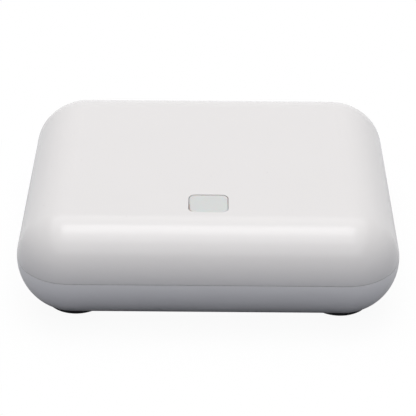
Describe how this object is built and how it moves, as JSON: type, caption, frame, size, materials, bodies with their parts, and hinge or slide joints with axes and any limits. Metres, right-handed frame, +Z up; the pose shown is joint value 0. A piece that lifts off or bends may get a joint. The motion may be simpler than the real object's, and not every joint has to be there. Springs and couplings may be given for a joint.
{
  "type": "alarm hub",
  "caption": "Low rounded-box alarm hub with a lit push key in its top, network and power sockets and a reset button in a rear recess, and a hinged battery door between rubber feet.",
  "frame": {"origin": "on the table, under the middle of the hub", "axes": "+X to the hub's right, +Y to its back where the sockets are, +Z up"},
  "size_m": [0.125, 0.105, 0.035],
  "materials": {
    "cover_gloss_white": "moulded, high gloss",
    "base_satin_white": "moulded, satin",
    "key_frosted": "frosted translucent",
    "foot_rubber": "moulded, matt",
    "screw_steel": "zinc plated",
    "board_laminate": "solder mask",
    "shroud_white": "moulded, matt",
    "lamp_package": "lamp package",
    "switch_black": "moulded, matt",
    "switch_button": "moulded, matt",
    "socket_black": "moulded, satin",
    "socket_shield": "tinned sheet",
    "contact_gold": "gold plated",
    "indicator_lens": "clear lens",
    "pin_nickel": "nickel plated",
    "cell_sleeve": "sleeved can",
    "spring_nickel": "nickel plated wire",
    "plate_nickel": "nickel plated sheet",
    "lead_sleeve": "flexible sleeve",
    "connector_ivory": "moulded, matt",
    "siren_black": "moulded, matt",
    "disc_brass": "rolled sheet",
    "can_tin": "tinned sheet",
    "chip_black": "moulded, matt",
    "antenna_tin": "tinned strip",
    "capacitor_can": "drawn can",
    "inductor_ferrite": "sintered block"
  },
  "bodies": {
    "hub": {"base_tray": "base_satin_white", "battery_cell_1": "cell_sleeve", "battery_cell_2": "cell_sleeve", "battery_cell_3": "cell_sleeve", "battery_cell_4": "cell_sleeve", "battery_contact_plates": "plate_nickel", "battery_leads": "lead_sleeve", "battery_springs": "spring_nickel", "capacitors": "capacitor_can", "case_screws": "screw_steel", "ethernet_indicators": "indicator_lens", "ethernet_insert": "socket_black", "ethernet_shield": "socket_shield", "ethernet_wires": "contact_gold", "light_shroud": "shroud_white", "main_board": "board_laminate", "memory_chip": "chip_black", "power_inductor": "inductor_ferrite", "power_jack_housing": "socket_black", "power_jack_leaf": "pin_nickel", "power_jack_pin": "pin_nickel", "processor": "chip_black", "radio_module": "can_tin", "reset_switch_body": "switch_black", "rubber_foot_1": "foot_rubber", "rubber_foot_2": "foot_rubber", "rubber_foot_3": "foot_rubber", "rubber_foot_4": "foot_rubber", "shield_can": "can_tin", "siren_case": "siren_black", "siren_connector": "connector_ivory", "siren_disc": "disc_brass", "siren_leads": "lead_sleeve", "status_lamps": "lamp_package", "status_switch_body": "switch_black", "strip_antenna": "antenna_tin", "top_cover": "cover_gloss_white"},
    "key": {"status_key": "key_frosted", "status_switch_plunger": "switch_button"},
    "reset": {"reset_button": "switch_button"},
    "door": {"battery_door": "base_satin_white"}
  },
  "joints": [
    {"name": "key_press", "type": "slide", "parent": "hub", "child": "key", "axis": [0, 0, -1], "range_m": [0, 0.0004], "stiffness_N_per_m": 4000, "springref_m": -0.0001},
    {"name": "reset_press", "type": "slide", "parent": "hub", "child": "reset", "axis": [0, -1, 0], "range_m": [0, 0.0003], "stiffness_N_per_m": 5000, "springref_m": -0.0001},
    {"name": "battery_door_hinge", "type": "hinge", "parent": "hub", "child": "door", "pos_m": [0, 0.0217, 0.0037], "axis": [1, 0, 0], "range_deg": [0, 85]}
  ]
}
